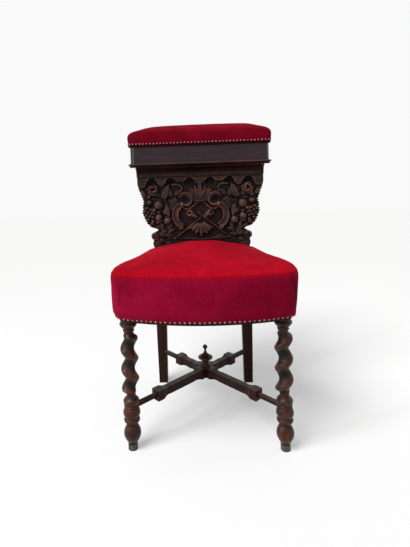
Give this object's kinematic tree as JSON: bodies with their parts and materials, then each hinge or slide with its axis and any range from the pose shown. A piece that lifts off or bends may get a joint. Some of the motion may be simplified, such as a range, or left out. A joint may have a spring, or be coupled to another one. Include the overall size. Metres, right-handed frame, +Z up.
{
  "type": "smoker's chair",
  "caption": "Low upholstered side chair with barley-twist front legs, crossed stretcher, carved back and a padded crest that is the hinged lid of a box.",
  "frame": {"origin": "centre of the chair's bounding box, on the floor under it", "axes": "+Z up, +Y from the front legs towards the back, +X to the right when seen from the front"},
  "size_m": [0.4688, 0.4672, 0.868],
  "materials": {
    "walnut": "dark waxed polish",
    "pine": "raw",
    "velvet": "red cotton velvet",
    "horsehair": "curled hair",
    "hessian": "coarse plain weave",
    "webbing": "jute herringbone weave",
    "brass": "aged"
  },
  "bodies": {
    "frame": {"front_leg_left": "walnut", "front_leg_right": "walnut", "rear_leg_left": "walnut", "rear_leg_right": "walnut", "stretcher_bar_left": "walnut", "stretcher_bar_right": "walnut", "stretcher_finial": "walnut", "front_rail": "walnut", "side_rail_left": "walnut", "side_rail_right": "walnut", "back_rail": "walnut", "back_panel": "walnut", "back_cornice": "walnut", "box_floor": "walnut", "box_front": "walnut", "box_end_right": "walnut", "box_end_left": "walnut", "box_back": "walnut", "glue_block_front_left": "pine", "glue_block_front_right": "pine", "glue_block_rear_left": "pine", "glue_block_rear_right": "pine", "seat_webbing": "webbing", "seat_hessian": "hessian", "seat_stuffing": "horsehair", "seat_cover": "velvet", "hinge_box_leaf_left": "brass", "hinge_box_leaf_right": "brass", "hinge_pin_left": "brass", "hinge_pin_right": "brass"},
    "lid": {"hinge_lid_leaf_left": "brass", "hinge_lid_leaf_right": "brass", "lid_board": "walnut", "lid_stuffing": "horsehair", "lid_cover": "velvet"}
  },
  "joints": [
    {"name": "lid_hinge", "type": "hinge", "parent": "frame", "child": "lid", "pos_m": [0, 0.2306, 0.79825], "axis": [-1, 0, 0], "range_deg": [0, 100]}
  ]
}
